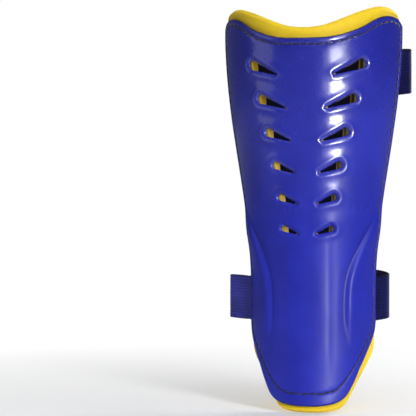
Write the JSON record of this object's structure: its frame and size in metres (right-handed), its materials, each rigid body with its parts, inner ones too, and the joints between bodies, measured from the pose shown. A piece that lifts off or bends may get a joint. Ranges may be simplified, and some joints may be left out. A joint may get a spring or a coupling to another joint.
{
  "type": "shin guard",
  "caption": "Shin guard: a glossy moulded shell over a padded foam liner, with two hook-and-loop elastic straps that swing open.",
  "frame": {"origin": "mid-plane of the guard, in the plane of the shell's two rear rims, level with the lowest point of the liner at the ankle end", "axes": "+Z towards the knee, -Y towards the front of the shin (the shell's crown), +X across the leg, on the side where the loop straps are sewn in"},
  "size_m": [0.107, 0.0593, 0.2241],
  "materials": {
    "shell_pvc": "gloss",
    "liner_foam": "matte closed-cell foam",
    "webbing": "woven elastic",
    "hook_tape": "hook tape",
    "loop_tape": "fuzzy loop pile",
    "thread": "twisted thread"
  },
  "bodies": {
    "guard": {"shell": "shell_pvc", "foam_liner": "liner_foam", "edge_stitching": "thread", "edge_stitching_rear": "thread", "upper_hook_strap_anchor": "webbing", "upper_loop_strap_anchor": "webbing", "lower_hook_strap_anchor": "webbing", "lower_loop_strap_anchor": "webbing"},
    "upper_hook_band": {"upper_hook_strap": "webbing"},
    "upper_hook_end": {"upper_hook_strap_tab": "webbing", "upper_hook_patch": "hook_tape", "upper_hook_stitching": "thread"},
    "upper_loop_band": {"upper_loop_strap": "webbing", "upper_loop_patch": "loop_tape", "upper_loop_stitching": "thread"},
    "lower_hook_band": {"lower_hook_strap": "webbing"},
    "lower_hook_end": {"lower_hook_strap_tab": "webbing", "lower_hook_patch": "hook_tape", "lower_hook_stitching": "thread"},
    "lower_loop_band": {"lower_loop_strap": "webbing", "lower_loop_patch": "loop_tape", "lower_loop_stitching": "thread"}
  },
  "joints": [
    {"name": "upper_hook_strap_swing", "type": "hinge", "parent": "guard", "child": "upper_hook_band", "pos_m": [-0.04679, 0.01518, 0.1958], "axis": [-0.0541, -0.0135, 0.9984], "range_deg": [0, 120]},
    {"name": "upper_tab_peel", "type": "hinge", "parent": "upper_hook_band", "child": "upper_hook_end", "pos_m": [-0.02437, 0.00989, 0.1958], "axis": [0.1415, -0.0232, 0.9897], "range_deg": [0, 80]},
    {"name": "upper_loop_strap_swing", "type": "hinge", "parent": "guard", "child": "upper_loop_band", "pos_m": [0.05296, 0.01491, 0.1912], "axis": [0.0146, -0.0075, 0.9999], "range_deg": [-33.8, 0]},
    {"name": "lower_hook_strap_swing", "type": "hinge", "parent": "guard", "child": "lower_hook_band", "pos_m": [-0.04368, 0.0174, 0.061], "axis": [0.017, 0.0018, 0.9999], "range_deg": [0, 110]},
    {"name": "lower_tab_peel", "type": "hinge", "parent": "lower_hook_band", "child": "lower_hook_end", "pos_m": [-0.02081, 0.01098, 0.0604], "axis": [-0.123, 0.0306, 0.9919], "range_deg": [0, 80]},
    {"name": "lower_loop_strap_swing", "type": "hinge", "parent": "guard", "child": "lower_loop_band", "pos_m": [0.04112, 0.01521, 0.0634], "axis": [0.0346, -0.0295, 0.999], "range_deg": [-44.2, 0]}
  ],
  "couplings": [
    {"joint": "upper_loop_strap_swing", "follows": "upper_hook_strap_swing", "ratio": -0.28},
    {"joint": "lower_loop_strap_swing", "follows": "lower_hook_strap_swing", "ratio": -0.4}
  ]
}
